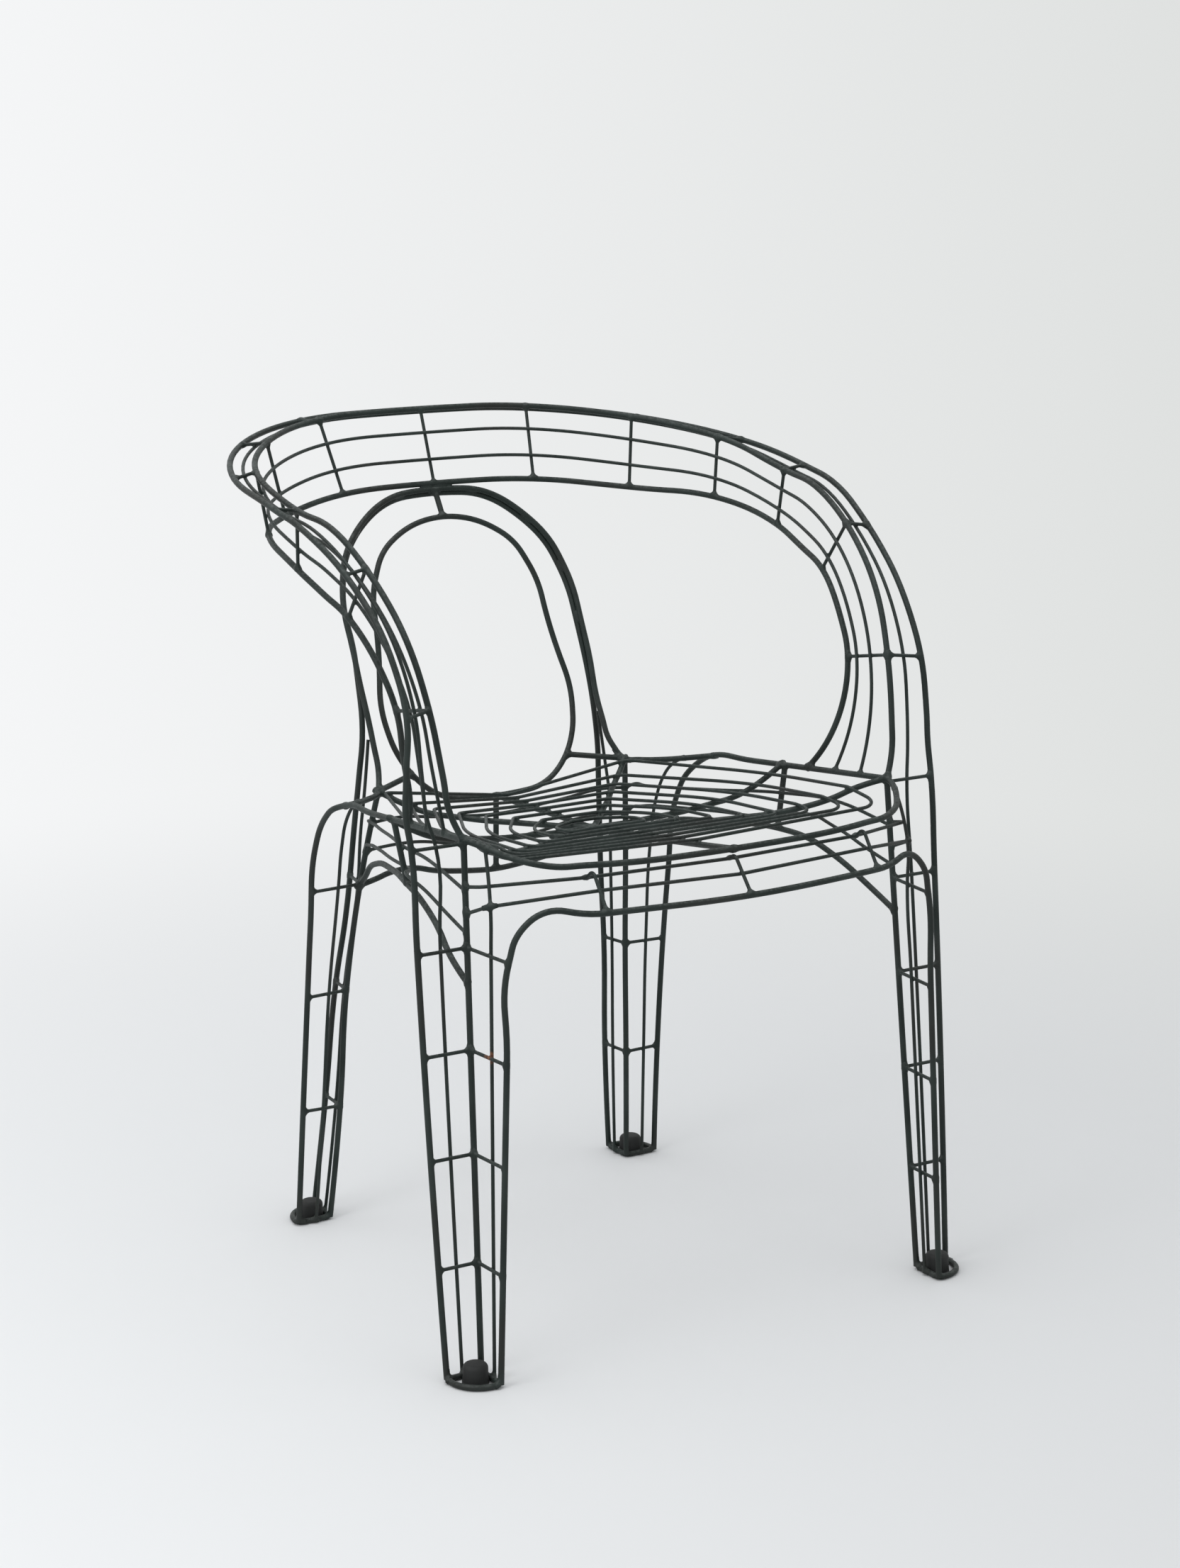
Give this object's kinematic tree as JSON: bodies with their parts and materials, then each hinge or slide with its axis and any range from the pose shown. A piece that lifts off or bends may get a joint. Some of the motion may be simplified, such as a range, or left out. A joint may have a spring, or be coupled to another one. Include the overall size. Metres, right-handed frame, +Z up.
{
  "type": "wire mesh armchair",
  "caption": "Armchair of welded round rods: dished ring seat, arched back with an open loop, hoop arms, mesh legs on rubber plugs.",
  "frame": {"origin": "middle of the chair's box, on the floor", "axes": "+X to the right seen from the front, +Y to the back of the chair, +Z up"},
  "size_m": [0.5736, 0.6107, 0.7727],
  "materials": {
    "foot_rubber": "matt black rubber",
    "seat_paint": "matt anthracite paint",
    "frame_paint": "matt anthracite paint"
  },
  "bodies": {
    "root": {"foot_plug_front_left": "foot_rubber", "foot_plug_front_right": "foot_rubber", "foot_plug_rear_left": "foot_rubber", "foot_plug_rear_right": "foot_rubber", "seat_cross_bar": "seat_paint", "seat_front_spoke_left": "seat_paint", "seat_front_spoke_right": "seat_paint", "seat_length_bar": "seat_paint", "seat_rear_spoke_left": "seat_paint", "seat_rear_spoke_right": "seat_paint", "seat_ring_1": "seat_paint", "seat_ring_2": "seat_paint", "seat_ring_3": "seat_paint", "seat_ring_4": "seat_paint", "seat_ring_5": "seat_paint", "seat_ring_6": "seat_paint", "seat_ring_7": "seat_paint", "seat_ring_8": "seat_paint", "back_arch_rod": "frame_paint", "back_loop_links": "frame_paint", "back_loop_rod": "frame_paint", "foot_ring_front_left": "frame_paint", "foot_ring_front_right": "frame_paint", "foot_ring_rear_left": "frame_paint", "foot_ring_rear_right": "frame_paint", "front_apron_bars": "frame_paint", "front_apron_rods": "frame_paint", "front_arch_rod": "frame_paint", "front_leg_bars_left": "frame_paint", "front_leg_bars_right": "frame_paint", "front_leg_strand_left": "frame_paint", "front_leg_strand_right": "frame_paint", "front_post_left": "frame_paint", "front_post_right": "frame_paint", "front_rim_rod": "frame_paint", "hoop_band_strands": "frame_paint", "hoop_bars": "frame_paint", "hoop_middle_strand": "frame_paint", "inner_hoop_rod": "frame_paint", "lower_hoop_rod": "frame_paint", "outer_hoop_rod": "frame_paint", "rear_apron_rods": "frame_paint", "rear_arch_rod": "frame_paint", "rear_bar": "frame_paint", "rear_leg_arch_rod": "frame_paint", "rear_leg_bars_left": "frame_paint", "rear_leg_bars_right": "frame_paint", "rear_leg_strands_left": "frame_paint", "rear_leg_strands_right": "frame_paint", "rear_post_left": "frame_paint", "rear_post_right": "frame_paint", "side_apron_rods_left": "frame_paint", "side_apron_rods_right": "frame_paint", "side_arch_left": "frame_paint", "side_arch_right": "frame_paint", "side_bar_left": "frame_paint", "side_bar_right": "frame_paint", "side_rail_left": "frame_paint", "side_rail_right": "frame_paint"}
  },
  "joints": []
}
